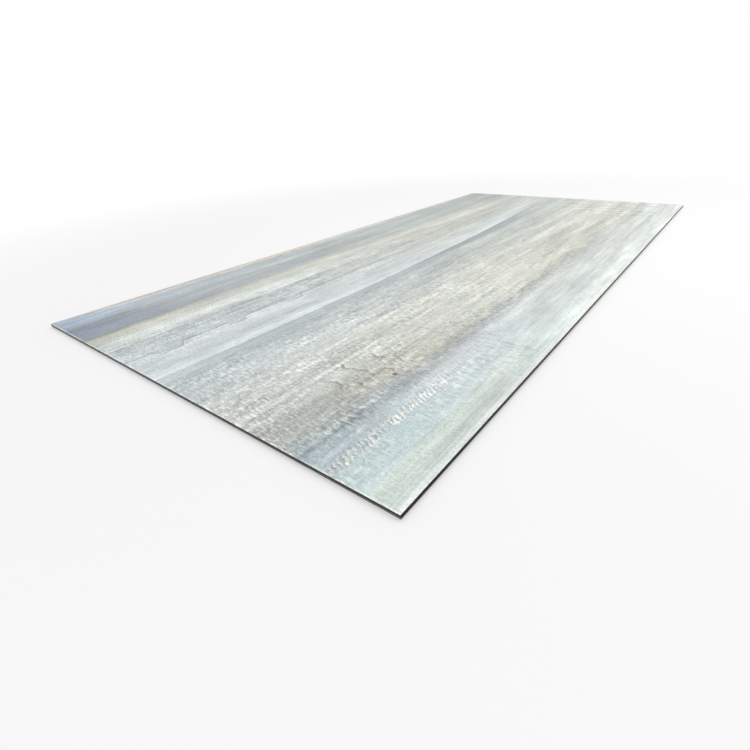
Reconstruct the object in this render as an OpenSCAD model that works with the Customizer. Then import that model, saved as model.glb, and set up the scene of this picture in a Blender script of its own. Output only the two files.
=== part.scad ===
// Hot-rolled steel plate, cut to length from strip.
// The two long edges are as rolled. The two ends are sheared.
// The origin is at the middle of the underside: X is the rolling direction and Z is up.

/* [Plate] */
// Length along the rolling direction, end to end
plate_length = 2500; // [500:10:12000]
// Width over the rolled edges
plate_width = 1250; // [300:10:2000]
// Thickness between the rolled faces
plate_thickness = 10; // [6:0.5:25]

/* [Rolled edges] */
// How far a long edge swells out at half its thickness
edge_swell = 1.5; // [0.5:0.1:3]

/* [Sheared ends] */
// Gap between the shear blades, by which the torn part of an end leans back
blade_gap = 0.8; // [0.2:0.1:1.5]
// Height of the smooth band that the blade rubbed before the steel tore
rubbed_height = 3.5; // [1:0.5:4]
// Radius of the edge that the blade drew in where it entered
drawn_edge_radius = 1; // [0.3:0.1:1.5]

/* [Hidden] */
$fn = 180;
// How far a cutting shape runs past what it cuts
overrun = 5;
// Radius of the arc through a long edge's two corners and its swollen middle
edge_arc_radius = (pow(plate_thickness / 2, 2) + pow(edge_swell, 2)) / (2 * edge_swell);
// Height of the torn part of an end, from the far face up to the rubbed band
torn_height = plate_thickness - rubbed_height - drawn_edge_radius;
mill_scale_colour = [0.80, 0.82, 0.81];

// One long edge of the cross-section: the arc that rolling leaves, clipped to the thickness
module rolled_edge() {
    intersection() {
        square([plate_width + overrun, plate_thickness], center = true);
        translate([plate_width / 2 - edge_arc_radius, 0])
            circle(r = edge_arc_radius);
    }
}

// Section across the rolling direction: flat faces between two swollen edges
module cross_section() {
    square([plate_width - 2 * edge_swell, plate_thickness], center = true);
    for (side = [0, 1])
        mirror([side, 0])
            rolled_edge();
}

// What the shear takes off a square end, with the blade entering from above.
// The end stands at the left of the section, and the torn part leans back below the rubbed band.
module shear_offcut() {
    translate([-plate_length / 2, -plate_thickness / 2]) {
        polygon([[0, torn_height], [blade_gap, 0], [blade_gap, -overrun],
                 [-overrun, -overrun], [-overrun, torn_height]]);
        translate([0, plate_thickness - drawn_edge_radius])
            difference() {
                translate([-overrun, 0])
                    square([overrun + drawn_edge_radius, drawn_edge_radius + overrun]);
                translate([drawn_edge_radius, 0])
                    circle(r = drawn_edge_radius);
            }
    }
}

// Section along the rolling direction. One end was cut as the held side of the strip and
// the other as the side that drops, so they are the same shape turned half round.
module long_section() {
    difference() {
        square([plate_length, plate_thickness], center = true);
        for (turn = [0, 180])
            rotate(turn)
                shear_offcut();
    }
}

// The plate is what the rolled section and the sheared section share
module plate() {
    color(mill_scale_colour)
        translate([0, 0, plate_thickness / 2])
            intersection() {
                rotate([90, 0, 90])
                    linear_extrude(plate_length + overrun, center = true)
                        cross_section();
                rotate([90, 0, 0])
                    linear_extrude(plate_width + overrun, center = true)
                        long_section();
            }
}

plate();
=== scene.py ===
import math
import bmesh
import bpy
from mathutils import Euler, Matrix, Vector, noise


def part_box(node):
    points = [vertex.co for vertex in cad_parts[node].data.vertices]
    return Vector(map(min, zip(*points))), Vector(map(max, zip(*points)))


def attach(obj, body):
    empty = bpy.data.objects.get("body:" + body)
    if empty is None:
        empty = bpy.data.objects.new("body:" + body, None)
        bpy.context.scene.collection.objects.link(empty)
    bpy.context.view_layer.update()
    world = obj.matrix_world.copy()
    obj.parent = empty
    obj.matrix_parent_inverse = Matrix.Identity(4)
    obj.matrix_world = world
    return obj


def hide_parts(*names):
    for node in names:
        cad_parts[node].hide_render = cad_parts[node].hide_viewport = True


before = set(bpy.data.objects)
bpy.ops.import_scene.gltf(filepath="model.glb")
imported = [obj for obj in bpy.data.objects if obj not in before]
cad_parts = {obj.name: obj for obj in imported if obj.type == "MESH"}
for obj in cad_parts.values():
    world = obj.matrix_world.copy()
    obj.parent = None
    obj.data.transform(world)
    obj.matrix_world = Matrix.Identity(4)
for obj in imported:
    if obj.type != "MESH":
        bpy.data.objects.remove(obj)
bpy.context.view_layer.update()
scene = bpy.context.scene
scene.view_settings.view_transform = "Standard"
plateLow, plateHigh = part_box("plate")
plateSize = plateHigh - plateLow
thickness = plateSize.z
print("frame loaded, plate", [round(side, 4) for side in plateSize])


# the slab: loop cuts on a cube, rims shaped as rolled and sheared, both faces left a little uneven
slab = {
    "lengthCuts": 311,
    "widthCuts": 123,
    "cornerSteps": (0.0, 0.09, 0.31, 0.62, 1.0),    # rings of a round corner, as shares of its radius
    "bandGaps": 7,            # gaps between the rings from one corner to the other
    "edgeSwell": 0.0015,      # how far the long edges swell out at half their height
    "cornerRound": 0.0008,    # the rolled corners of the long edges
    "bladeGap": 0.0008,       # the torn part of an end leans back by this
    "rubbedHeight": 0.0035,   # smooth band that the blade rubbed
    "drawnRadius": 0.001,     # edge that the blade drew in
    "drawnShare": 0.8,        # share of that edge that keeps the mill scale
    "tearWander": 0.0007,     # how far the tear line strays up and down
    "tearPitch": (1, 0.06),
    "tearFinePitch": (1, 0.017),
    "tearFineShare": 0.6,
    "tearBlend": 0.001,       # height in which the torn part turns rough
    "tornDepth": 0.00022,     # roughness of the torn steel
    "tornPitch": (0.0013, 0.012),
    "burrHeight": 0.00025,    # lip left where the blade came out
    "burrPitch": (1, 0.02),
    "flatFrom": 0.75,         # faces that point up or down by more than this are the rolled faces
    "sharpAngle": math.radians(40),
    "nearlyNothing": 1e-5,
}

# seeds of the noise; an end has three, for its tear line, the fine part of it and the torn steel
noiseSeeds = {
    "longWave": 1.5,
    "streak": 4.5,
    "wrinkle": 5.5,
    "crease": 8.5,
    "under": 11.5,
    "nearEnd": (20.5, 23.5, 27.5),
    "farEnd": (30.5, 33.5, 37.5),
    "burr": 40.5,
}


def smoothStep(value, start, end):
    share = min(1.0, max(0.0, (value - start) / (end - start)))
    return share * share * (3 - 2 * share)


def waver(x, y, pitch, seed):
    return noise.noise(Vector((x / pitch[0], y / pitch[1], seed)))


def ringHeights():
    # close rings near both faces for the round corners, wider ones between
    bottom = [slab["drawnRadius"] * step for step in slab["cornerSteps"]]
    top = [thickness - height for height in reversed(bottom)]
    gap = (top[0] - bottom[-1]) / slab["bandGaps"]
    middle = [bottom[-1] + gap * step for step in range(1, slab["bandGaps"])]
    return bottom + middle + top


def roundedCorner(distance, radius):
    # inset of a quarter round, this far below the face that it starts from
    if distance >= radius:
        return 0.0
    return radius - math.sqrt(radius ** 2 - (radius - distance) ** 2)


def shearedInset(height, y, seeds):
    # height counts from the face that the blade came out of
    lineSeed, fineSeed, tornSeed = seeds
    wander = waver(0, y, slab["tearPitch"], lineSeed)
    wander += slab["tearFineShare"] * waver(0, y, slab["tearFinePitch"], fineSeed)
    tornHeight = thickness - slab["rubbedHeight"] - slab["drawnRadius"] + slab["tearWander"] * wander
    if height >= tornHeight:
        return roundedCorner(thickness - height, slab["drawnRadius"])
    lean = slab["bladeGap"] * (1 - height / tornHeight)
    rough = slab["tornDepth"] * (1 + waver(height, y, slab["tornPitch"], tornSeed))
    return lean + rough * smoothStep(tornHeight - height, 0, slab["tearBlend"])


def rolledInset(height):
    half = thickness / 2
    arcRadius = (half ** 2 + slab["edgeSwell"] ** 2) / (2 * slab["edgeSwell"])
    swollen = arcRadius - math.sqrt(arcRadius ** 2 - (height - half) ** 2)
    return swollen + roundedCorner(min(height, thickness - height), slab["cornerRound"])


# how uneven the rolled faces are, in metres
relief = {
    "longWave": 0.00022,
    "longPitch": (0.55, 0.22),
    "streak": 0.00004,
    "streakPitch": (0.5, 0.022),
    "rollStep": 0.00012,
    "rollHalf": 0.006,        # half the width of that step
    "creaseDepth": 0.00024,
    "creaseHalf": 0.010,
    "creaseSoft": 0.06,       # how slowly a crease runs out
    "creaseStray": 0.03,
    "creasePitch": (0.3, 0.12),
    "creasesFrom": 0.75,      # there are none on the nearer side of this place
    "frontWrinkle": 0.00014,
    "frontPitch": 0.027,
    "frontStray": 0.8,
    "frontStrayPitch": (0.12, 0.07),
    "frontEnd": (-0.78, -0.95),       # the wrinkles set in at the first place and are full at the second
    "frontRight": (-0.44, -0.38),
    "frontLeft": (-0.20, -0.28),
    "underWave": 0.00015,
    "underPitch": (0.6, 0.25),
}


# the line that the rolls left along the middle, which bends slowly to the left towards both ends
rollPath = {
    "turnsAt": -0.6,          # place along the length where it comes nearest to the middle
    "nearest": 0.022,
    "bend": 0.026,            # how far it moves off in the first metre from there
}


def rollLine(x):
    return rollPath["nearest"] + rollPath["bend"] * (x - rollPath["turnsAt"]) ** 2


# creases across the far end, where the strip was bent straight as it came off the coil
coilBreaks = [
    {"place": 0.850, "reach": (-0.420, -0.260)},
    {"place": 0.905, "reach": (-0.500, -0.300)},
    {"place": 0.958, "reach": (-0.430, -0.150)},
    {"place": 1.004, "reach": (-0.550, -0.400)},
    {"place": 1.022, "reach": (-0.330, -0.090)},
    {"place": 1.070, "reach": (-0.460, -0.120)},
    {"place": 1.118, "reach": (-0.360, -0.030)},
    {"place": 1.150, "reach": (-0.530, -0.310)},
    {"place": 1.194, "reach": (-0.460, -0.140)},
]


def creaseDip(x, y):
    dip = 0.0
    soft = relief["creaseSoft"]
    strayed = x + relief["creaseStray"] * waver(x, y, relief["creasePitch"], noiseSeeds["crease"])
    for crease in coilBreaks:
        low, high = crease["reach"]
        away = (strayed - crease["place"]) / relief["creaseHalf"]
        share = smoothStep(y, low - soft, low + soft) * smoothStep(y, high + soft, high - soft)
        dip += share * math.exp(-away * away)
    return relief["creaseDepth"] * dip


def frontWrinkles(x, y):
    share = smoothStep(x, *relief["frontEnd"])
    share *= smoothStep(y, *relief["frontRight"]) * smoothStep(y, *relief["frontLeft"])
    phase = x / relief["frontPitch"]
    phase += relief["frontStray"] * waver(x, y, relief["frontStrayPitch"], noiseSeeds["wrinkle"])
    return relief["frontWrinkle"] * share * math.sin(math.tau * phase)


def topRelief(x, y):
    rollHalf = relief["rollHalf"]
    height = relief["longWave"] * waver(x, y, relief["longPitch"], noiseSeeds["longWave"])
    height += relief["streak"] * waver(x, y, relief["streakPitch"], noiseSeeds["streak"])
    height -= relief["rollStep"] * smoothStep(rollLine(x) - y, -rollHalf, rollHalf)
    if x > relief["creasesFrom"]:
        height -= creaseDip(x, y)
    return height + frontWrinkles(x, y)


def underRelief(x, y):
    return relief["underWave"] * (1 + waver(x, y, relief["underPitch"], noiseSeeds["under"])) / 2


def cutLoops(mesh, axis, cuts):
    toCut = [edge for edge in mesh.edges
             if abs(edge.verts[0].co[axis] - edge.verts[1].co[axis]) > slab["nearlyNothing"]]
    bmesh.ops.subdivide_edges(mesh, edges=toCut, cuts=cuts, use_grid_fill=True)


def shapeSlab(mesh, heights):
    # where the rings go, then the rims, then the unevenness of both faces
    close = slab["nearlyNothing"]
    for vert in mesh.verts:
        x, y, z = vert.co
        height = heights[round((z - plateLow.z) / thickness * (len(heights) - 1))]
        onNear = x < plateLow.x + close
        onFar = x > plateHigh.x - close
        if onNear:
            x += shearedInset(height, y, noiseSeeds["nearEnd"])
        if onFar:
            x -= shearedInset(thickness - height, y, noiseSeeds["farEnd"])
        if y < plateLow.y + close:
            y += rolledInset(height)
        elif y > plateHigh.y - close:
            y -= rolledInset(height)
        upShare = height / thickness
        lift = upShare * topRelief(x, y) + (1 - upShare) * underRelief(x, y)
        if onFar and height == heights[-1]:
            lift += slab["burrHeight"] * (1 + waver(0, y, slab["burrPitch"], noiseSeeds["burr"])) / 2
        vert.co = (x, y, plateLow.z + height + lift)


def chooseFinish(face):
    # 0 mill scale, 1 sheared end, 2 rolled edge, 3 mill scale of the underside
    middle = face.calc_center_median()
    normal = face.normal
    if abs(normal.z) > slab["flatFrom"]:
        return 0 if normal.z > 0 else 3
    if abs(normal.x) > abs(normal.y):
        height = middle.z - plateLow.z
        fromDrawnFace = thickness - height if middle.x < 0 else height
        if fromDrawnFace > slab["drawnRadius"] * slab["drawnShare"]:
            return 1
        return 0 if middle.x < 0 else 3
    return 2


def makeSlab(finishes):
    heights = ringHeights()
    mesh = bmesh.new()
    bmesh.ops.create_cube(mesh, size=1)
    bmesh.ops.scale(mesh, vec=plateSize, verts=mesh.verts)
    bmesh.ops.translate(mesh, vec=(plateLow + plateHigh) / 2, verts=mesh.verts)
    cutLoops(mesh, 0, slab["lengthCuts"])
    cutLoops(mesh, 1, slab["widthCuts"])
    cutLoops(mesh, 2, len(heights) - 2)
    shapeSlab(mesh, heights)
    mesh.normal_update()
    for face in mesh.faces:
        face.smooth = True
        face.material_index = chooseFinish(face)
    for edge in mesh.edges:
        edge.smooth = edge.calc_face_angle(0) < slab["sharpAngle"]
    data = bpy.data.meshes.new("steelPlate")
    mesh.to_mesh(data)
    mesh.free()
    for finish in finishes:
        data.materials.append(finish)
    piece = bpy.data.objects.new("steelPlate", data)
    scene.collection.objects.link(piece)
    return piece


# small helpers for the node trees
grainMiddle = 0.5             # noise runs from 0 to 1 about this


def addNode(tree, kind, settings=None, inputs=None):
    node = tree.nodes.new("ShaderNode" + kind)
    for name, value in (settings or {}).items():
        setattr(node, name, value)
    for name, value in (inputs or {}).items():
        socket = node.inputs[name]
        if isinstance(value, bpy.types.NodeSocket):
            tree.links.new(value, socket)
        else:
            socket.default_value = value
    return node


def calc(tree, operation, first, second=0.0, third=0.0):
    node = addNode(tree, "Math", {"operation": operation}, {0: first, 1: second, 2: third})
    return node.outputs[0]


def times(tree, first, *others):
    for other in others:
        first = calc(tree, "MULTIPLY", first, other)
    return first


def fade(tree, value, start, end, low=0.0, high=1.0):
    # turns from low to high between start and end; a smooth step stays in there without a clamp
    settings = {"interpolation_type": "SMOOTHSTEP", "clamp": False}
    inputs = {"Value": value, "From Min": start, "From Max": end, "To Min": low, "To Max": high}
    return addNode(tree, "MapRange", settings, inputs).outputs[0]


def strip(tree, value, middle, half, soft):
    away = calc(tree, "ABSOLUTE", calc(tree, "SUBTRACT", value, middle))
    return fade(tree, away, half - soft, half + soft, 1.0, 0.0)


def span(tree, value, start, end, soft):
    rise = fade(tree, value, start - soft, start + soft)
    return times(tree, rise, fade(tree, value, end + soft, end - soft))


def along(tree, x, stops):
    # amount that turns smoothly from each stop to the next one along the length
    amount = stops[0][1]
    for (start, before), (end, after) in zip(stops, stops[1:]):
        amount = calc(tree, "ADD", fade(tree, x, start, end, 0.0, after - before), amount)
    return amount


def grain(tree, coords, stretch, detail=4.0, roughness=0.55, warp=0.0, turn=0.0):
    turned = {"Vector": coords, "Rotation": (0, 0, turn), "Scale": stretch}
    moved = addNode(tree, "Mapping", None, turned).outputs[0]
    inputs = {"Vector": moved, "Scale": 1.0, "Detail": detail, "Roughness": roughness, "Distortion": warp}
    return addNode(tree, "TexNoise", None, inputs).outputs[0]


def cells(tree, coords, stretch):
    moved = addNode(tree, "Mapping", None, {"Vector": coords, "Scale": stretch}).outputs[0]
    return addNode(tree, "TexVoronoi", None, {"Vector": moved, "Scale": 1.0}).outputs["Distance"]


def stray(tree, value, grains, amounts):
    # the value, pushed to and fro by some of the grains
    for name, amount in amounts.items():
        push = calc(tree, "SUBTRACT", grains[name], grainMiddle)
        value = calc(tree, "MULTIPLY_ADD", push, amount, value)
    return value


def press(tree, sums, value, shade, height=0.0):
    # adds a mark to the running sums of shade and height
    sums["shade"] = calc(tree, "MULTIPLY_ADD", value, shade, sums["shade"])
    if height:
        sums["height"] = calc(tree, "MULTIPLY_ADD", value, height, sums["height"])


def tint(tree, amount, under, over, blend="MIX"):
    node = addNode(tree, "Mix", {"data_type": "RGBA", "blend_type": blend})
    for index, value in ((0, amount), (6, under), (7, over)):
        if isinstance(value, bpy.types.NodeSocket):
            tree.links.new(value, node.inputs[index])
        else:
            node.inputs[index].default_value = value
    return node.outputs[2]


def newFinish(name):
    material = bpy.data.materials.new(name)
    material.use_nodes = True
    material.node_tree.nodes.clear()
    coords = addNode(material.node_tree, "TexCoord").outputs["Object"]
    return material, material.node_tree, coords


def finishWith(tree, colour, height, look, roughness):
    depth = {"Height": height, "Strength": look["bumpStrength"], "Distance": look["bumpDepth"]}
    bump = addNode(tree, "Bump", None, depth).outputs[0]
    inputs = {"Base Color": colour, "Roughness": roughness, "Metallic": look["metal"], "Normal": bump}
    shader = addNode(tree, "BsdfPrincipled", None, inputs)
    out = addNode(tree, "OutputMaterial")
    tree.links.new(shader.outputs[0], out.inputs[0])


# tones of the mill scale, and of the painted highlights and shades drawn with them, as linear colours
scaleTonesAndLight = {
    "cool": (0.590, 0.645, 0.658, 1),
    "warm": (0.565, 0.590, 0.545, 1),
    "white": (0.86, 0.92, 0.88, 1),
    "frost": (0.79, 0.85, 0.87, 1),
    "ivory": (0.88, 0.88, 0.81, 1),
    "cream": (0.69, 0.69, 0.57, 1),
    "peach": (0.76, 0.68, 0.56, 1),
    "tan": (0.56, 0.53, 0.40, 1),
    "brown": (0.39, 0.355, 0.30, 1),
    "blue": (0.30, 0.385, 0.51, 1),
    "slate": (0.235, 0.275, 0.34, 1),
    "dull": (0.405, 0.455, 0.440, 1),
    "steel": (0.42, 0.495, 0.535, 1),
    "mint": (0.50, 0.605, 0.60, 1),
    "olive": (0.54, 0.58, 0.49, 1),
    "sand": (0.70, 0.665, 0.60, 1),
    "ridgeShadeTone": (0.415, 0.425, 0.455, 1),
    "rust": (0.50, 0.33, 0.20, 1),
}

# bands across the width, in metres from the middle, and their amounts at some places along the length
# their fading along the length, darker and bluer at the near end and whiter at the far end, is partly
# painted reflection
scaleBands = [
    {"tone": "blue", "middle": 0.570, "half": 0.050, "soft": 0.022,
     "amounts": ((-1.25, 0.90), (-0.85, 0.55), (-0.4, 0.28), (0.3, 0.12), (1.25, 0.0))},
    {"tone": "slate", "middle": 0.456, "half": 0.078, "soft": 0.030,
     "amounts": ((-1.25, 1.0), (-0.95, 0.75), (-0.55, 0.42), (0.1, 0.20), (1.25, 0.10))},
    {"tone": "dull", "middle": 0.485, "half": 0.115, "soft": 0.040,
     "amounts": ((-1.25, 0.0), (-0.8, 0.25), (-0.2, 0.66), (0.5, 0.95), (1.25, 1.0))},
    {"tone": "brown", "middle": 0.580, "half": 0.060, "soft": 0.030,
     "amounts": ((0.5, 0.0), (1.25, 0.35))},
    {"tone": "peach", "middle": 0.612, "half": 0.016, "soft": 0.012,
     "amounts": ((-1.15, 0.0), (-0.9, 0.45), (-0.4, 1.0), (0.0, 0.35), (1.25, 0.25))},
    {"tone": "rust", "middle": 0.622, "half": 0.005, "soft": 0.003,
     "amounts": ((-1.25, 0.1), (-0.9, 0.6), (-0.1, 0.4), (0.4, 0.15), (1.25, 0.1))},
    {"tone": "tan", "middle": 0.376, "half": 0.022, "soft": 0.022,
     "amounts": ((-1.25, 0.60), (-0.9, 0.50), (-0.4, 0.35), (0.3, 0.30), (1.25, 0.20))},
    {"tone": "cream", "middle": 0.330, "half": 0.050, "soft": 0.040,
     "amounts": ((-1.25, 0.30), (-0.4, 0.40), (0.4, 0.28), (1.25, 0.25))},
    {"tone": "white", "middle": 0.298, "half": 0.026, "soft": 0.020,
     "amounts": ((-1.25, 0.42), (-0.3, 0.28), (0.2, 0.0))},
    {"tone": "brown", "middle": 0.235, "half": 0.050, "soft": 0.030,
     "amounts": ((-0.6, 0.0), (-0.2, 0.20), (1.25, 0.26))},
    {"tone": "dull", "middle": 0.150, "half": 0.040, "soft": 0.030,
     "amounts": ((-0.2, 0.0), (0.2, 0.20), (1.25, 0.25))},
    {"tone": "frost", "middle": 0.100, "half": 0.050, "soft": 0.040,
     "amounts": ((-1.25, 0.10), (0.0, 0.25), (0.6, 0.45), (1.25, 0.10))},
    {"tone": "dull", "middle": -0.005, "half": 0.080, "soft": 0.065,
     "amounts": ((-1.25, 0.12), (-0.4, 0.34), (0.6, 0.54), (1.25, 0.50))},
    {"tone": "white", "middle": -0.180, "half": 0.095, "soft": 0.060,
     "amounts": ((-1.25, 0.24), (-0.5, 0.20), (0.0, 0.0))},
    {"tone": "sand", "middle": -0.230, "half": 0.100, "soft": 0.060,
     "amounts": ((-1.25, 0.22), (-0.8, 0.25), (-0.2, 0.10), (0.2, 0.0))},
    {"tone": "cream", "middle": -0.290, "half": 0.110, "soft": 0.080,
     "amounts": ((-1.25, 0.20), (-0.8, 0.42), (-0.2, 0.40), (0.6, 0.32), (1.25, 0.50))},
    {"tone": "ivory", "middle": -0.280, "half": 0.150, "soft": 0.080,
     "amounts": ((0.3, 0.0), (0.8, 0.20), (1.25, 0.35))},
    {"tone": "brown", "middle": -0.362, "half": 0.046, "soft": 0.035,
     "amounts": ((-1.25, 0.45), (-1.0, 0.40), (-0.85, 0.15), (-0.6, 0.0))},
    {"tone": "tan", "middle": -0.385, "half": 0.030, "soft": 0.022,
     "amounts": ((-1.05, 0.0), (-0.92, 0.42), (-0.7, 0.08), (-0.5, 0.0))},
    {"tone": "brown", "middle": -0.405, "half": 0.022, "soft": 0.016,
     "amounts": ((-1.15, 0.0), (-0.95, 0.40), (-0.6, 0.15), (0.0, 0.04), (1.25, 0.0))},
    {"tone": "steel", "middle": -0.448, "half": 0.062, "soft": 0.024,
     "amounts": ((-1.25, 0.80), (-1.0, 0.62), (-0.8, 0.10), (-0.4, 0.0))},
    {"tone": "mint", "middle": -0.568, "half": 0.066, "soft": 0.028,
     "amounts": ((-1.25, 0.88), (-0.9, 0.55), (-0.3, 0.22), (0.4, 0.05), (1.25, 0.0))},
    {"tone": "white", "middle": -0.530, "half": 0.065, "soft": 0.035,
     "amounts": ((-1.1, 0.0), (-0.6, 0.18), (0.2, 0.30), (0.8, 0.55), (1.25, 0.45))},
    {"tone": "olive", "middle": -0.585, "half": 0.022, "soft": 0.014,
     "amounts": ((-1.25, 0.55), (-0.85, 0.60), (-0.55, 0.10), (-0.2, 0.0))},
    # this pale strip along the right edge is a painted highlight where the edge rolls over
    {"tone": "white", "middle": -0.606, "half": 0.026, "soft": 0.018,
     "amounts": ((-1.0, 0.0), (-0.6, 0.35), (0.0, 0.75), (1.25, 0.85))},
]

# grain of the mill scale, in waves per metre along and across
scaleGrain = {
    "broad": {"stretch": (1.3, 4.5, 0), "detail": 2, "roughness": 0.55},
    "blotch": {"stretch": (6, 12, 0), "detail": 4, "roughness": 0.65},
    "rough": {"stretch": (26, 36, 0), "detail": 6, "roughness": 0.75},
    "streaks": {"stretch": (1.3, 18, 0), "detail": 4, "roughness": 0.65},
    "hue": {"stretch": (1.6, 26, 0), "detail": 4, "roughness": 0.65},
    "hair": {"stretch": (7, 100, 0), "detail": 3, "roughness": 0.6},
    "dash": {"stretch": (13, 75, 0), "detail": 3, "roughness": 0.6},
    "peck": {"stretch": (185, 52, 0), "detail": 3, "roughness": 0.55},
    "grit": {"stretch": (210, 210, 0), "detail": 4, "roughness": 0.75},
}

# lines that the rolls and guides left along the plate: bright above zero, dark below
dragLines = [
    {"middle": 0.272, "half": 0.003, "reach": (-1.40, -0.50), "shade": 0.12, "wander": 0.003},
    {"middle": 0.264, "half": 0.003, "reach": (-1.40, -0.15), "shade": -0.26, "wander": 0.003},
    {"middle": 0.262, "half": 0.005, "reach": (-0.15, 0.90), "shade": -0.08, "wander": 0.010},
    {"middle": 0.196, "half": 0.003, "reach": (-0.45, 0.00), "shade": 0.10, "wander": 0.004},
    {"middle": 0.172, "half": 0.004, "reach": (-0.45, 0.30), "shade": -0.18, "wander": 0.006},
    {"middle": 0.162, "half": 0.003, "reach": (-0.45, -0.05), "shade": 0.12, "wander": 0.006},
    {"middle": -0.083, "half": 0.004, "reach": (-0.92, -0.55), "shade": -0.20, "wander": 0.006},
    {"middle": -0.134, "half": 0.003, "reach": (-0.45, 0.25), "shade": 0.16, "wander": 0.005},
    {"middle": -0.184, "half": 0.003, "reach": (-1.25, -0.75), "shade": 0.16, "wander": 0.006},
    {"middle": -0.206, "half": 0.003, "reach": (-0.60, 0.70), "shade": 0.14, "wander": 0.005},
    {"middle": -0.216, "half": 0.003, "reach": (-1.25, -0.85), "shade": 0.16, "wander": 0.006},
    {"middle": -0.259, "half": 0.004, "reach": (-1.40, 0.15), "shade": 0.18, "wander": 0.006},
    {"middle": -0.269, "half": 0.004, "reach": (-1.40, -0.95), "shade": -0.16, "wander": 0.006},
    {"middle": -0.487, "half": 0.003, "reach": (-0.28, 0.05), "shade": 0.16, "wander": 0.006},
    {"middle": -0.502, "half": 0.004, "reach": (0.00, 0.30), "shade": 0.16, "wander": 0.015},
    {"middle": -0.528, "half": 0.004, "reach": (0.30, 1.00), "shade": -0.10, "wander": 0.020},
]

# short creases and scratches across it, dark lines that are partly painted shade, with a painted highlight
# on one side; the bow bends their ends along the plate
crossScratches = [
    {"place": -1.046, "half": 0.0035, "reach": (-0.332, -0.284), "bow": 0.007, "shade": -0.34},
    {"place": -1.028, "half": 0.0030, "reach": (-0.384, -0.344), "bow": -0.006, "shade": -0.30},
    {"place": -0.991, "half": 0.0030, "reach": (-0.304, -0.256), "bow": -0.008, "shade": -0.36},
    {"place": -0.975, "half": 0.0035, "reach": (-0.350, -0.310), "bow": 0.006, "shade": -0.32},
    {"place": -0.942, "half": 0.0030, "reach": (-0.392, -0.350), "bow": 0.008, "shade": -0.34},
    {"place": -0.916, "half": 0.0035, "reach": (-0.328, -0.282), "bow": -0.010, "shade": -0.36},
    {"place": -0.898, "half": 0.0030, "reach": (-0.388, -0.346), "bow": -0.008, "shade": -0.32},
    {"place": -0.872, "half": 0.0030, "reach": (-0.345, -0.295), "bow": -0.010, "shade": -0.28},
    {"place": -0.775, "half": 0.0030, "reach": (0.130, 0.390), "bow": 0.0, "shade": -0.10},
    {"place": -0.730, "half": 0.0035, "reach": (-0.420, -0.250), "bow": 0.010, "shade": -0.10},
    {"place": -0.700, "half": 0.0040, "reach": (-0.600, -0.500), "bow": 0.0, "shade": -0.10},
    {"place": 0.055, "half": 0.0030, "reach": (-0.370, -0.275), "bow": -0.020, "shade": -0.16},
]

# dark nicks and pits
nicks = [
    {"place": (-0.955, -0.389), "radius": 0.007, "shade": -0.50},
    {"place": (-1.240, 0.531), "radius": 0.006, "shade": -0.35},
    {"place": (-1.242, 0.502), "radius": 0.007, "shade": -0.30},
    {"place": (-1.243, 0.466), "radius": 0.005, "shade": -0.35},
    {"place": (-1.022, 0.509), "radius": 0.007, "shade": -0.18},
    {"place": (-0.723, 0.509), "radius": 0.008, "shade": -0.18},
    {"place": (-1.022, 0.411), "radius": 0.008, "shade": -0.16},
    {"place": (-0.884, 0.433), "radius": 0.008, "shade": -0.16},
]


def makeGrains(tree, coords):
    return {name: grain(tree, coords, **values) for name, values in scaleGrain.items()}


def bandColour(tree, x, y, colour):
    for band in scaleBands:
        inBand = strip(tree, y, band["middle"], band["half"], band["soft"])
        amount = times(tree, inBand, along(tree, x, band["amounts"]))
        colour = tint(tree, amount, colour, scaleTonesAndLight[band["tone"]])
    return colour


# what the drag lines have in common; here and below, a mark is a shade and a height,
# and a fade is its start and end, and then the amounts there if they aren't 0 and 1
dragLook = {
    "broken": (0.36, 0.52, 0.25, 1.0),
    "grit": 0.006,
    "soft": 0.8,              # as a share of the half width
    "runOut": 0.12,
}


def dragMarks(tree, sums, x, y, grains):
    broken = fade(tree, grains["blotch"], *dragLook["broken"])
    for line in dragLines:
        wander = line["wander"]
        drift = stray(tree, y, grains, {"broad": 2 * wander, "rough": wander, "grit": dragLook["grit"]})
        onLine = strip(tree, drift, line["middle"], line["half"], line["half"] * dragLook["soft"])
        value = times(tree, onLine, span(tree, x, *line["reach"], dragLook["runOut"]), broken)
        press(tree, sums, value, line["shade"], line["shade"])


# what the scratches have in common
scratchLook = {
    "stray": {"rough": 0.03, "grit": 0.008},
    "soft": 0.8,              # as a share of the half width
    "runOut": 0.02,
    "brightAt": 2.4,          # place of the bright side, in half widths
    "highlightShare": -0.6,
    "darkHeight": -0.3,
    "brightHeight": 0.2,
}


def scratchMarks(tree, sums, x, y, grains):
    for scratch in crossScratches:
        low, high = scratch["reach"]
        place, half, shade = scratch["place"], scratch["half"], scratch["shade"]
        soft = half * scratchLook["soft"]
        share = fade(tree, y, low, high, -1.0, 1.0)
        bent = calc(tree, "MULTIPLY_ADD", times(tree, share, share), scratch["bow"], x)
        drift = stray(tree, bent, grains, scratchLook["stray"])
        reach = span(tree, y, low, high, scratchLook["runOut"])
        # the dark line is partly painted shade in the crease, the bright side is a painted highlight
        dark = times(tree, reach, strip(tree, drift, place, half, soft))
        bright = times(tree, reach, strip(tree, drift, place + scratchLook["brightAt"] * half, half, soft))
        press(tree, sums, dark, shade, scratchLook["darkHeight"])
        press(tree, sums, bright, scratchLook["highlightShare"] * shade, scratchLook["brightHeight"])


# what the nicks have in common
nickLook = {
    "stray": {"grit": 0.010},
    "core": 0.3,              # share of the radius that is fully dark
    "height": -0.3,
}


def nickMarks(tree, sums, grains, coords):
    for nick in nicks:
        radius = nick["radius"]
        ends = {0: coords, 1: (*nick["place"], plateHigh.z)}
        away = addNode(tree, "VectorMath", {"operation": "DISTANCE"}, ends).outputs["Value"]
        ragged = stray(tree, away, grains, nickLook["stray"])
        inNick = fade(tree, ragged, radius, radius * nickLook["core"])
        press(tree, sums, inNick, nick["shade"], nickLook["height"])


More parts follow.
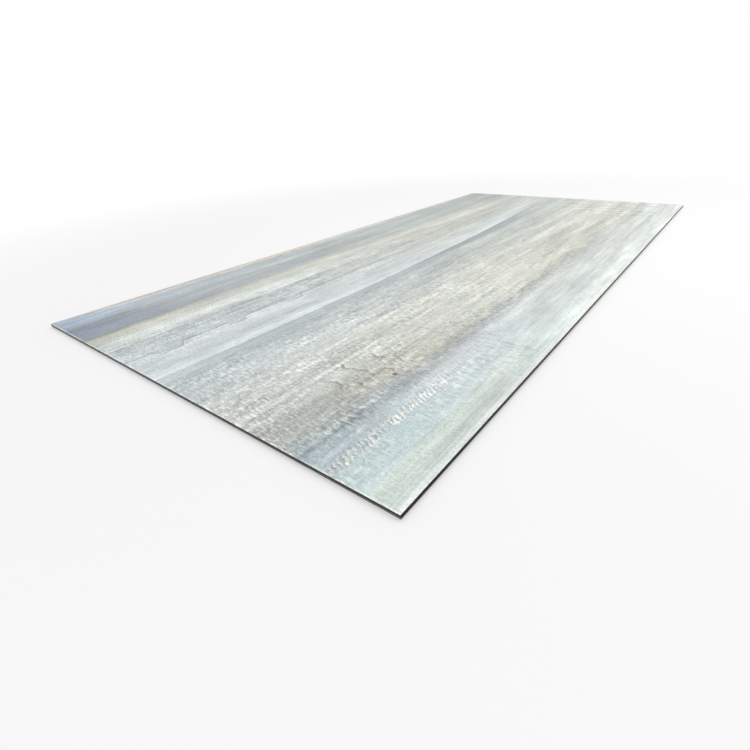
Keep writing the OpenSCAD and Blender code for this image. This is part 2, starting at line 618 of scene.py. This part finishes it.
# mottled patch left of the middle: two straight sides, lobes that stick out of the right one
patch = {
    "left": 0.264,
    "right": 0.172,
    "ends": (-0.30, -0.60),
    "soft": 0.004,
    "stray": {"rough": 0.010, "grit": 0.008},
    "lobe": 0.026,
    "lobeGrain": {"stretch": (10, 0, 0), "detail": 2},
    "lobeFrom": (0.53, 0.57),
    "mottled": (0.56, 0.44, -0.3, 1.0),
    "lineHalf": 0.004,
    "lineSoft": 0.003,
    "lipOff": 0.009,
    "mottleMark": (-0.06, -0.3),
    "edgeMark": (-0.26, -0.4),
    "lipMark": (0.14, 0.4),
}


def roughPatch(tree, sums, y, strayX, grains, coords):
    half, soft = patch["lineHalf"], patch["lineSoft"]
    lobes = fade(tree, grain(tree, coords, **patch["lobeGrain"]), *patch["lobeFrom"], 0.0, patch["lobe"])
    drift = stray(tree, calc(tree, "ADD", y, lobes), grains, patch["stray"])
    reach = fade(tree, strayX, *patch["ends"])
    inside = times(tree, reach, span(tree, drift, patch["right"], patch["left"], patch["soft"]))
    mottle = times(tree, inside, fade(tree, grains["rough"], *patch["mottled"]))
    edge = times(tree, reach, strip(tree, drift, patch["right"], half, soft))
    lip = times(tree, reach, strip(tree, drift, patch["right"] - patch["lipOff"], half, soft))
    press(tree, sums, mottle, *patch["mottleMark"])
    press(tree, sums, edge, *patch["edgeMark"])
    press(tree, sums, lip, *patch["lipMark"])


# the line along the middle: a step with a painted highlight on its higher left side and painted shade on
# its lower right side, with worn specks beside it
rollMark = {
    "stray": {"rough": 0.008, "grit": 0.006},
    "sharp": 0.002,           # how quickly it turns from bright to dark
    "shoulder": 0.004,        # each side is strongest this far off
    "highlightWidth": 0.065,
    "paintedShadeWidth": 0.085,
    "edgeWidth": 0.022,
    "bright": ((-1.25, 0.36), (-0.8, 0.36), (0.4, 0.55), (0.8, 0.45), (1.02, 0.0)),
    "dark": ((-1.25, 0.10), (-0.9, 0.30), (0.3, 0.50), (0.55, 0.55), (0.85, 0.20), (1.0, 0.0)),
    "speckCells": (34, 60, 0),
    "speckSize": (0.46, 0.20),
    "speckEnds": (-0.2, -0.5),
    "speckPatches": (0.38, 0.52),
    "speckRows": (-0.075, -0.032),
    "speckSoft": 0.010,
    "edgeMark": (-0.34, -0.3),
    "speckMark": (0.26, 0.3),
}


def rollLineMarks(tree, sums, x, y, strayX, grains, coords, colour):
    sharp, shoulder = rollMark["sharp"], rollMark["shoulder"]
    drift = stray(tree, y, grains, rollMark["stray"])
    fromTurn = calc(tree, "SUBTRACT", x, rollPath["turnsAt"])
    squared = times(tree, fromTurn, fromTurn)
    path = calc(tree, "MULTIPLY_ADD", squared, rollPath["bend"], rollPath["nearest"])
    off = calc(tree, "SUBTRACT", drift, path)
    # painted highlight on the higher side of the step
    above = times(tree, fade(tree, off, -sharp, sharp), fade(tree, off, rollMark["highlightWidth"], shoulder))
    paintedHighlight = times(tree, above, along(tree, x, rollMark["bright"]))
    colour = tint(tree, paintedHighlight, colour, scaleTonesAndLight["frost"])
    paintedShade = along(tree, strayX, rollMark["dark"])
    # painted shade below the step, and a darker painted edge along it
    under = times(tree, fade(tree, off, sharp, -shoulder),
                  fade(tree, off, -rollMark["paintedShadeWidth"], -shoulder), paintedShade)
    colour = tint(tree, under, colour, scaleTonesAndLight["slate"])
    edge = times(tree, paintedShade, fade(tree, off, sharp, -sharp),
                 fade(tree, off, -rollMark["edgeWidth"], -shoulder))
    speck = fade(tree, cells(tree, coords, rollMark["speckCells"]), *rollMark["speckSize"])
    worn = times(tree, fade(tree, strayX, *rollMark["speckEnds"]),
                 fade(tree, grains["blotch"], *rollMark["speckPatches"]))
    specks = times(tree, speck, worn, span(tree, off, *rollMark["speckRows"], rollMark["speckSoft"]))
    press(tree, sums, edge, *rollMark["edgeMark"])
    press(tree, sums, specks, *rollMark["speckMark"])
    return colour


# a low ridge along the right half, in colour only: a cream ribbon up to its crest, then painted soft shade
# beyond it
ridge = {
    "crest": -0.418,
    "stray": {"broad": 0.07, "blotch": 0.07, "rough": 0.03, "grit": 0.012},
    "reach": (-0.92, 0.95),
    "runOut": 0.15,
    "ribbonStart": (-0.012, 0.014),     # both starts count from the crest
    "ribbonWidth": 0.080,
    "ribbon": ((-0.9, 0.25), (0.4, 0.50), (0.95, 0.55)),
    "shadeStart": (0.010, -0.014),
    "shadeWidth": 0.060,
    "shade": ((-0.9, 0.35), (0.0, 0.32), (0.95, 0.25)),
    "broken": (0.36, 0.50, 0.2, 1.0),
    "line": (-0.003, 0.005, 0.004),     # middle, half width and softness
    "lineMark": (-0.08, -0.2),
}


def ridgeMarks(tree, sums, x, y, grains, colour):
    off = calc(tree, "SUBTRACT", stray(tree, y, grains, ridge["stray"]), ridge["crest"])
    reach = span(tree, x, *ridge["reach"], ridge["runOut"])
    ribbon = times(tree, fade(tree, off, *ridge["ribbonStart"]),
                   fade(tree, off, ridge["ribbonWidth"], ridge["ribbonStart"][1]))
    amount = times(tree, reach, ribbon, along(tree, x, ridge["ribbon"]))
    colour = tint(tree, amount, colour, scaleTonesAndLight["cream"])
    # painted shade on the far side of the crest
    shade = times(tree, fade(tree, off, *ridge["shadeStart"]),
                  fade(tree, off, -ridge["shadeWidth"], ridge["shadeStart"][1]))
    amount = times(tree, reach, shade, along(tree, x, ridge["shade"]))
    colour = tint(tree, amount, colour, scaleTonesAndLight["ridgeShadeTone"])
    broken = fade(tree, grains["blotch"], *ridge["broken"])
    line = times(tree, reach, strip(tree, off, *ridge["line"]), broken)
    press(tree, sums, line, *ridge["lineMark"])
    return colour


# row of bright strokes near the right edge, where a guide chattered
chatter = {
    "row": -0.486,
    "half": 0.012,
    "soft": 0.6,              # as a share of the half width
    "rowStray": {"broad": 0.01, "rough": 0.05, "peck": 0.03},
    "ends": (-0.72, -0.94),
    "pitch": 0.0108,
    "lean": -0.45,
    "jitter": {"rough": 0.034, "grit": 0.010},
    "flecks": {"stretch": (150, 60, 0), "detail": 3, "roughness": 0.6, "warp": 0.3, "turn": 0.5},
    "fleckFrom": (0.50, 0.60),
    "strokeFrom": (0.1, 0.7, 0.0, 0.75),
    "gapFrom": (-0.3, -0.9),
    "vary": (0.40, 0.54, 0.35, 1.0),
    "strokeMark": (0.15, 0.5),
    "gapShadeMark": (-0.20, -0.2),
}


def chatterMarks(tree, sums, x, y, strayX, grains, coords, colour):
    leaning = stray(tree, calc(tree, "MULTIPLY_ADD", y, chatter["lean"], x), grains, chatter["jitter"])
    beat = calc(tree, "SINE", times(tree, leaning, math.tau / chatter["pitch"]))
    flecks = grain(tree, coords, **chatter["flecks"])
    rowY = stray(tree, y, grains, chatter["rowStray"])
    inRow = strip(tree, rowY, chatter["row"], chatter["half"], chatter["half"] * chatter["soft"])
    inRow = times(tree, inRow, fade(tree, strayX, *chatter["ends"]))
    vary = fade(tree, grains["rough"], *chatter["vary"])
    stroke = calc(tree, "MAXIMUM", fade(tree, beat, *chatter["strokeFrom"]),
                  fade(tree, flecks, *chatter["fleckFrom"]))
    strokes = times(tree, inRow, stroke, vary)
    colour = tint(tree, strokes, colour, scaleTonesAndLight["ivory"])
    # the dark gaps between the strokes are painted shade
    gapShade = times(tree, inRow, fade(tree, beat, *chatter["gapFrom"]))
    press(tree, sums, strokes, *chatter["strokeMark"])
    press(tree, sums, gapShade, *chatter["gapShadeMark"])
    return colour


# fine feathers on both sides of that row, and a toothed stretch behind it
feather = {
    "grain": {"stretch": (120, 34, 0), "detail": 4, "roughness": 0.65, "warp": 0.3, "turn": 0.42},
    "contrast": (0.42, 0.58, -0.5, 0.5),
    "patches": (0.42, 0.56),
    "soft": 0.015,
    "rightSide": (-0.540, -0.485),
    "rightEnds": (-0.60, -0.95),
    "leftSide": (-0.430, -0.385),
    "leftEnds": (-0.75, -0.95),
    "toothSide": (-0.60, -0.40),
    "toothReach": (-0.84, -0.68),
    "toothSoft": 0.03,
    "mark": (0.26, 0.5),
    "toothMark": (0.16, 0.3),
}


def featherMarks(tree, sums, strayX, strayY, grains, coords):
    soft, toothSoft = feather["soft"], feather["toothSoft"]
    fine = fade(tree, grain(tree, coords, **feather["grain"]), *feather["contrast"])
    right = times(tree, span(tree, strayY, *feather["rightSide"], soft),
                  fade(tree, strayX, *feather["rightEnds"]))
    left = times(tree, span(tree, strayY, *feather["leftSide"], soft),
                 fade(tree, strayX, *feather["leftEnds"]))
    nearRow = calc(tree, "ADD", right, left)
    feathers = times(tree, fine, nearRow, fade(tree, grains["blotch"], *feather["patches"]))
    tooth = times(tree, fine, span(tree, strayY, *feather["toothSide"], toothSoft),
                  span(tree, strayX, *feather["toothReach"], toothSoft))
    press(tree, sums, feathers, *feather["mark"])
    press(tree, sums, tooth, *feather["toothMark"])


# each crease of the far end gets painted shade, a dark line in its dip, with a painted highlight line
# beside it
creaseLook = {
    "stray": {"broad": 0.10, "blotch": 0.06, "rough": 0.03},
    "broken": (0.38, 0.54, 0.25, 1.0),
    "soft": 0.9,              # as a share of the half width
    "brightAt": 2,            # place of the bright line, in half widths
    "dark": -0.25,
    "bright": 0.17,
}


def farCreases(tree, sums, x, y, grains):
    half = relief["creaseHalf"]
    soft = half * creaseLook["soft"]
    drift = stray(tree, x, grains, creaseLook["stray"])
    broken = fade(tree, grains["rough"], *creaseLook["broken"])
    for crease in coilBreaks:
        place = crease["place"]
        reach = span(tree, y, *crease["reach"], relief["creaseSoft"])
        # painted shade in the dip of the crease, and a painted highlight beside it
        dark = times(tree, reach, broken, strip(tree, drift, place, half, soft))
        paintedHighlightLine = strip(tree, drift, place + creaseLook["brightAt"] * half, half, soft)
        press(tree, sums, dark, creaseLook["dark"])
        press(tree, sums, times(tree, reach, broken, paintedHighlightLine), creaseLook["bright"])


# painted highlights on the pale rims: the near one where the drawn-in edge catches the light, and the
# right one where the edge rolls over, with a thin bright line inside it
rimHighlightLook = {
    "nearStray": {"grit": 0.002},
    "nearReach": (0.004, 0.0015),
    "nearAmount": 0.5,
    "sideStray": {"rough": 0.008},
    "sideReach": (0.016, 0.009),
    "sideAmount": 0.55,
    "line": (0.020, 0.0018, 0.0012),    # middle, half width and softness, from the edge
    "lineEnds": (-0.2, -0.8),
    "lineMark": (0.12, 0.2),
}


def paintedRimHighlights(tree, sums, x, y, grains, colour):
    fromEnd = calc(tree, "SUBTRACT", stray(tree, x, grains, rimHighlightLook["nearStray"]), plateLow.x)
    # painted highlight along the near end
    nearRimHighlight = fade(tree, fromEnd, *rimHighlightLook["nearReach"], 0.0, rimHighlightLook["nearAmount"])
    colour = tint(tree, nearRimHighlight, colour, scaleTonesAndLight["white"])
    fromSide = calc(tree, "SUBTRACT", y, plateLow.y)
    ragged = stray(tree, fromSide, grains, rimHighlightLook["sideStray"])
    # painted highlight along the right edge
    sideRimHighlight = fade(tree, ragged, *rimHighlightLook["sideReach"], 0.0, rimHighlightLook["sideAmount"])
    colour = tint(tree, sideRimHighlight, colour, scaleTonesAndLight["ivory"])
    line = times(tree, strip(tree, fromSide, *rimHighlightLook["line"]), fade(tree, x, *rimHighlightLook["lineEnds"]))
    press(tree, sums, line, *rimHighlightLook["lineMark"])
    return colour


# how the grain shades the scale and stands up where it is worn, dragged or scaly, and how it shines
scaleLook = {
    "wornMarks": {"rough": (0.55, 0.6), "grit": (1.30, 0.8), "blotch": (0.85, 0.0)},
    "draggedMarks": {"streaks": (1.00, 0.0), "hair": (0.35, 0.4)},
    "scalyContrast": (0.40, 0.60, -0.5, 0.5),
    "peckMark": (0.30, 0.8),
    "dashMark": (0.18, 0.5),
    "roughness": 0.42,
    "roughnessStray": {"streaks": 0.3, "blotch": 0.3},
    "peckRoughness": -0.06,
    "bumpStrength": 1.0,
    "bumpDepth": 0.002,
    "metal": 0.5,
}


def scaleShader(tree, colour, grains, sums, scaly, worn, dragged):
    # the grain joins the marks, and their sums darken or lighten the colour and stand up as bump
    for marks, share in ((scaleLook["wornMarks"], worn), (scaleLook["draggedMarks"], dragged)):
        for name, mark in marks.items():
            value = times(tree, calc(tree, "SUBTRACT", grains[name], grainMiddle), share)
            press(tree, sums, value, *mark)
    pecked = times(tree, fade(tree, grains["peck"], *scaleLook["scalyContrast"]), scaly)
    press(tree, sums, pecked, *scaleLook["peckMark"])
    dashed = times(tree, fade(tree, grains["dash"], *scaleLook["scalyContrast"]), scaly)
    press(tree, sums, dashed, *scaleLook["dashMark"])
    colour = tint(tree, 1.0, colour, sums["shade"], "MULTIPLY")
    roughness = stray(tree, scaleLook["roughness"], grains, scaleLook["roughnessStray"])
    roughness = calc(tree, "MULTIPLY_ADD", pecked, scaleLook["peckRoughness"], roughness)
    finishWith(tree, colour, sums["height"], scaleLook, roughness)


# the middle of the plate is scaly, the two sides are smooth, and the far half is more dragged than scaly
faceLook = {
    "strayAlong": {"broad": 0.5, "blotch": 0.3},
    "strayAcross": {"broad": 0.06, "rough": 0.06, "grit": 0.015},
    "turnsWarm": (-1.2, 0.3),
    "sandy": (0.50, 0.66, 0.0, 0.30),
    "steely": (0.50, 0.34, 0.0, 0.22),
    "scaly": 0.25,
    "scalyStrips": (((-0.46, -0.03, 0.04), 0.75), ((0.14, 0.28, 0.03), 0.40)),
    "scalyPatches": (0.36, 0.60, 0.4, 1.2),
    "scalyAlong": (-0.8, 0.8, 1.15, 0.6),
    "worn": 0.65,
    "wornStrips": (((-0.47, 0.02, 0.05), 0.20), ((0.14, 0.40, 0.04), 0.45)),
    "wornAlong": (-0.6, 0.6, 1.1, 0.5),
    "draggedAlong": (-0.8, 0.5, 1.0, 1.45),
}


def inStrips(tree, y, amount, strips):
    # the amount, with more of it inside each strip, which has a start, an end and a softness
    for reach, more in strips:
        amount = calc(tree, "MULTIPLY_ADD", span(tree, y, *reach), more, amount)
    return amount


def millScale():
    material, tree, coords = newFinish("millScale")
    split = addNode(tree, "SeparateXYZ", None, {0: coords})
    x, y = split.outputs[0], split.outputs[1]
    grains = makeGrains(tree, coords)
    # bands follow coordinates that stray, so their sides are ragged
    strayX = stray(tree, x, grains, faceLook["strayAlong"])
    strayY = stray(tree, y, grains, faceLook["strayAcross"])
    colour = tint(tree, fade(tree, x, *faceLook["turnsWarm"]), scaleTonesAndLight["cool"], scaleTonesAndLight["warm"])
    colour = bandColour(tree, strayX, strayY, colour)
    colour = tint(tree, fade(tree, grains["hue"], *faceLook["sandy"]), colour, scaleTonesAndLight["sand"])
    colour = tint(tree, fade(tree, grains["hue"], *faceLook["steely"]), colour, scaleTonesAndLight["steel"])
    sums = {"shade": 1.0, "height": 0.0}
    colour = rollLineMarks(tree, sums, x, y, strayX, grains, coords, colour)
    colour = ridgeMarks(tree, sums, x, y, grains, colour)
    colour = chatterMarks(tree, sums, x, y, strayX, grains, coords, colour)
    featherMarks(tree, sums, strayX, strayY, grains, coords)
    dragMarks(tree, sums, x, y, grains)
    scratchMarks(tree, sums, x, y, grains)
    nickMarks(tree, sums, grains, coords)
    roughPatch(tree, sums, y, strayX, grains, coords)
    farCreases(tree, sums, x, y, grains)
    scaly = inStrips(tree, strayY, faceLook["scaly"], faceLook["scalyStrips"])
    scaly = times(tree, scaly, fade(tree, grains["blotch"], *faceLook["scalyPatches"]),
                  fade(tree, x, *faceLook["scalyAlong"]))
    worn = inStrips(tree, strayY, faceLook["worn"], faceLook["wornStrips"])
    worn = times(tree, worn, fade(tree, x, *faceLook["wornAlong"]))
    dragged = fade(tree, x, *faceLook["draggedAlong"])
    colour = paintedRimHighlights(tree, sums, x, y, grains, colour)
    scaleShader(tree, colour, grains, sums, scaly, worn, dragged)
    return material


# the underside: the same scale, streaked but without the marks
underLook = {
    "warm": (0.40, 0.60),
    "dull": (0.50, 0.70, 0.0, 0.7),
    "steel": (0.56, 0.70, 0.0, 0.5),
    "cream": (0.46, 0.32, 0.0, 0.6),
    "scaly": (0.36, 0.60, 0.3, 0.8),
    "worn": 0.8,
    "dragged": 1.0,
}


def underScale():
    material, tree, coords = newFinish("underScale")
    grains = makeGrains(tree, coords)
    warm = fade(tree, grains["streaks"], *underLook["warm"])
    colour = tint(tree, warm, scaleTonesAndLight["cool"], scaleTonesAndLight["warm"])
    colour = tint(tree, fade(tree, grains["broad"], *underLook["dull"]), colour, scaleTonesAndLight["dull"])
    colour = tint(tree, fade(tree, grains["blotch"], *underLook["steel"]), colour, scaleTonesAndLight["steel"])
    colour = tint(tree, fade(tree, grains["broad"], *underLook["cream"]), colour, scaleTonesAndLight["cream"])
    scaly = fade(tree, grains["blotch"], *underLook["scaly"])
    sums = {"shade": 1.0, "height": 0.0}
    scaleShader(tree, colour, grains, sums, scaly, underLook["worn"], underLook["dragged"])
    return material


# the cut ends: black where the blade rubbed, which is mostly painted shade on ends that face away from the
# light, grey and rough where the steel tore
cutTonesAndShade = {
    "rubbed": (0.010, 0.011, 0.014, 1),
    "scored": (0.045, 0.045, 0.048, 1),
    "torn": (0.215, 0.206, 0.186, 1),
    "tornDark": (0.062, 0.060, 0.054, 1),
    "lowerShade": (0.008, 0.009, 0.012, 1),
}

cutLook = {
    "scores": {"stretch": (0, 420, 18), "detail": 4, "roughness": 0.6},
    "grit": {"stretch": (900, 500, 900), "detail": 5, "roughness": 0.7},
    "wander": {"stretch": (0, 30, 0), "detail": 4, "roughness": 0.7},
    "scored": (0.45, 0.75),
    "tornContrast": (0.35, 0.65),
    "stray": {"wander": 0.003, "grit": 0.001},
    "tearHalf": 0.0004,
    "paintedLowerShade": (0.0016, 0.0004),
    "bumpStrength": 0.6,
    "bumpDepth": 0.0004,
    "roughness": 0.48,
    "metal": 0.85,
}


def shearedEnd():
    material, tree, coords = newFinish("shearedEnd")
    split = addNode(tree, "SeparateXYZ", None, {0: coords})
    x, z = split.outputs[0], split.outputs[2]
    # height from the face that the blade came out of, which is the lower one at the near end only
    flipped = calc(tree, "SUBTRACT", plateLow.z + plateHigh.z, z)
    farEnd = calc(tree, "GREATER_THAN", x, 0.0)
    height = addNode(tree, "Mix", None, {0: farEnd, 2: z, 3: flipped}).outputs[0]
    grains = {name: grain(tree, coords, **cutLook[name]) for name in ("scores", "grit", "wander")}
    scored = fade(tree, grains["scores"], *cutLook["scored"])
    # the near black of the rubbed band is mostly painted shade
    rubbed = tint(tree, scored, cutTonesAndShade["rubbed"], cutTonesAndShade["scored"])
    rough = fade(tree, grains["grit"], *cutLook["tornContrast"])
    torn = tint(tree, rough, cutTonesAndShade["tornDark"], cutTonesAndShade["torn"])
    drift = stray(tree, height, grains, cutLook["stray"])
    tear = plateLow.z + thickness - slab["rubbedHeight"] - slab["drawnRadius"]
    below = fade(tree, drift, tear + cutLook["tearHalf"], tear - cutLook["tearHalf"])
    colour = tint(tree, below, rubbed, torn)
    # painted shade along the bottom of the end
    rimStart, rimEnd = cutLook["paintedLowerShade"]
    paintedLowerShade = fade(tree, drift, plateLow.z + rimStart, plateLow.z + rimEnd)
    colour = tint(tree, paintedLowerShade, colour, cutTonesAndShade["lowerShade"])
    finishWith(tree, colour, grains["grit"], cutLook, cutLook["roughness"])
    return material


# the rolled edges: near black, partly dark scale and partly painted shade on sides that face away from the
# light, dragged along, with a little rust
edgeScaleAndShade = {
    "blackScaleInShade": (0.006, 0.008, 0.013, 1),
    "navy": (0.022, 0.027, 0.040, 1),
    "rusty": (0.075, 0.048, 0.030, 1),
}

edgeLook = {
    "drag": {"stretch": (14, 0, 700), "detail": 5, "roughness": 0.65},
    "patches": {"stretch": (22, 60, 160), "detail": 5, "roughness": 0.6},
    "dragged": (0.38, 0.66),
    "rusted": (0.58, 0.72, 0.0, 0.6),
    "bumpStrength": 0.6,
    "bumpDepth": 0.0004,
    "roughness": 0.42,
    "metal": 0.85,
}


def rolledEdge():
    material, tree, coords = newFinish("rolledEdge")
    drag = grain(tree, coords, **edgeLook["drag"])
    patches = grain(tree, coords, **edgeLook["patches"])
    colour = tint(tree, fade(tree, drag, *edgeLook["dragged"]), edgeScaleAndShade["blackScaleInShade"], edgeScaleAndShade["navy"])
    colour = tint(tree, fade(tree, patches, *edgeLook["rusted"]), colour, edgeScaleAndShade["rusty"])
    finishWith(tree, colour, drag, edgeLook, edgeLook["roughness"])
    return material


piece = makeSlab([millScale(), shearedEnd(), rolledEdge(), underScale()])
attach(piece, "root")
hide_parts("plate")
print("slab made,", len(piece.data.polygons), "faces")


# pale floor that fades to the white of the background, and shows only from above
floor = {
    "size": 30.0,
    "drop": 0.0004,
    "colour": (0.94, 0.94, 0.94, 1),
    "nearShare": 0.2,         # share of plain white close to the plate; the rest can take its shadow
    "fadeFrom": 0.8,
    "fadeTo": 3.0,
}


def seenPlainly(tree):
    # 1 for what the eye sees, also in a reflection or through something clear
    path = addNode(tree, "LightPath")
    seen = calc(tree, "MAXIMUM", path.outputs["Is Camera Ray"], path.outputs["Is Glossy Ray"])
    return calc(tree, "MAXIMUM", seen, path.outputs["Is Transmission Ray"])


def floorFinish():
    material, tree, coords = newFinish("paleFloor")
    away = addNode(tree, "VectorMath", {"operation": "LENGTH"}, {0: coords}).outputs["Value"]
    white = addNode(tree, "Emission", None, {"Color": (1, 1, 1, 1), "Strength": 1.0})
    pale = addNode(tree, "BsdfDiffuse", None, {"Color": floor["colour"]})
    whiteness = fade(tree, away, floor["fadeFrom"], floor["fadeTo"], floor["nearShare"], 1.0)
    share = times(tree, seenPlainly(tree), whiteness)
    top = addNode(tree, "MixShader", None, {0: share, 1: pale.outputs[0], 2: white.outputs[0]})
    clear = addNode(tree, "BsdfTransparent")
    behind = addNode(tree, "NewGeometry").outputs["Backfacing"]
    whole = addNode(tree, "MixShader", None, {0: behind, 1: top.outputs[0], 2: clear.outputs[0]})
    out = addNode(tree, "OutputMaterial")
    tree.links.new(whole.outputs[0], out.inputs[0])
    return material


def makeFloor():
    mesh = bmesh.new()
    bmesh.ops.create_grid(mesh, x_segments=1, y_segments=1, size=floor["size"] / 2)
    bmesh.ops.translate(mesh, vec=(0, 0, plateLow.z - floor["drop"]), verts=mesh.verts)
    data = bpy.data.meshes.new("floor")
    mesh.to_mesh(data)
    mesh.free()
    data.materials.append(floorFinish())
    ground = bpy.data.objects.new("floor", data)
    scene.collection.objects.link(ground)


makeFloor()
print("floor made")


# white surroundings for the eye and for reflections, a plainer level for the light that they give
studio = {
    "fillStrength": 0.68,
    "lamps": {
        "overheadLamp": {"place": (0.3, 0.1, 3.2), "aim": (0.2, 0, 0), "size": 3.4, "power": 36},
        "sideLamp": {"place": (1.2, -3.6, 2.2), "aim": (0, 0, 0), "size": 3.6, "power": 44},
    },
}


def makeWorld():
    world = bpy.data.worlds.new("studio")
    world.use_nodes = True
    tree = world.node_tree
    tree.nodes.clear()
    strength = fade(tree, seenPlainly(tree), 0, 1, studio["fillStrength"], 1.0)
    back = addNode(tree, "Background", None, {"Color": (1, 1, 1, 1), "Strength": strength})
    out = addNode(tree, "OutputWorld")
    tree.links.new(back.outputs[0], out.inputs[0])
    scene.world = world


def makeLamp(name, place, aim, size, power):
    data = bpy.data.lights.new(name, "AREA")
    data.shape = "SQUARE"
    data.size = size
    data.energy = power
    lamp = bpy.data.objects.new(name, data)
    lamp.location = place
    lamp.rotation_euler = (Vector(place) - Vector(aim)).to_track_quat("Z", "Y").to_euler()
    scene.collection.objects.link(lamp)


makeWorld()
for lampName, lamp in studio["lamps"].items():
    makeLamp(lampName, **lamp)
print("light set")


# camera just above the near corner, looking along the plate
eye = {
    "place": (-1.568, -0.888, 0.474),
    "heading": 37.71,         # degrees from the rolling direction
    "pitch": 30.39,           # degrees down
    "roll": -2.99,
    "sensor": 36,
    "lens": 20.97,
    "shift": (-0.0384, -0.002),
    "clipStart": 0.01,
}


def makeCamera():
    data = bpy.data.cameras.new("camera")
    data.sensor_width = eye["sensor"]
    data.lens = eye["lens"]
    data.shift_x, data.shift_y = eye["shift"]
    data.clip_start = eye["clipStart"]
    camera = bpy.data.objects.new("camera", data)
    camera.location = eye["place"]
    aim = Euler((math.radians(90 - eye["pitch"]), 0, math.radians(eye["heading"] - 90))).to_matrix()
    camera.rotation_euler = (aim @ Euler((0, 0, math.radians(eye["roll"]))).to_matrix()).to_euler()
    scene.collection.objects.link(camera)
    scene.camera = camera


makeCamera()
print("camera set")
